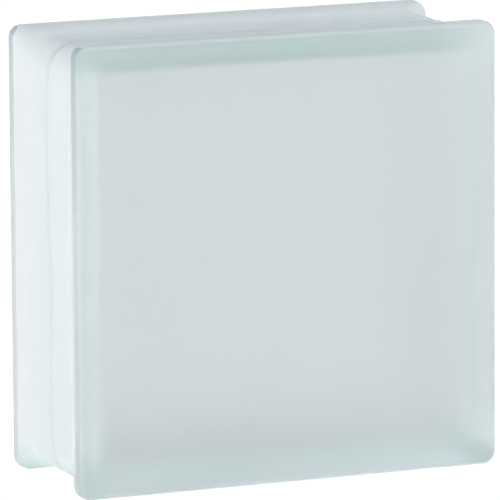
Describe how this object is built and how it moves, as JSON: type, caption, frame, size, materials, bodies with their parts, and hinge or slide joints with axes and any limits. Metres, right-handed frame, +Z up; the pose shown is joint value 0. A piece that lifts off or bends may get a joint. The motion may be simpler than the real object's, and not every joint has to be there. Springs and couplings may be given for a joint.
{
  "type": "glass block",
  "caption": "Square hollow satin glass block with rounded rims, a mortar channel round its sides and a fused seam, for laying in walls and partitions.",
  "frame": {"origin": "middle of the underside, on the plane that the two lower rims stand on", "axes": "+X across the face to the right seen from the front, +Y through the wall from the front face to the back face, +Z up"},
  "size_m": [0.19, 0.08, 0.19],
  "materials": {
    "satin_glass": "satin pressed soda-lime glass, white-coated in the mortar channel"
  },
  "bodies": {
    "root": {"glass_block": "satin_glass"}
  },
  "joints": []
}
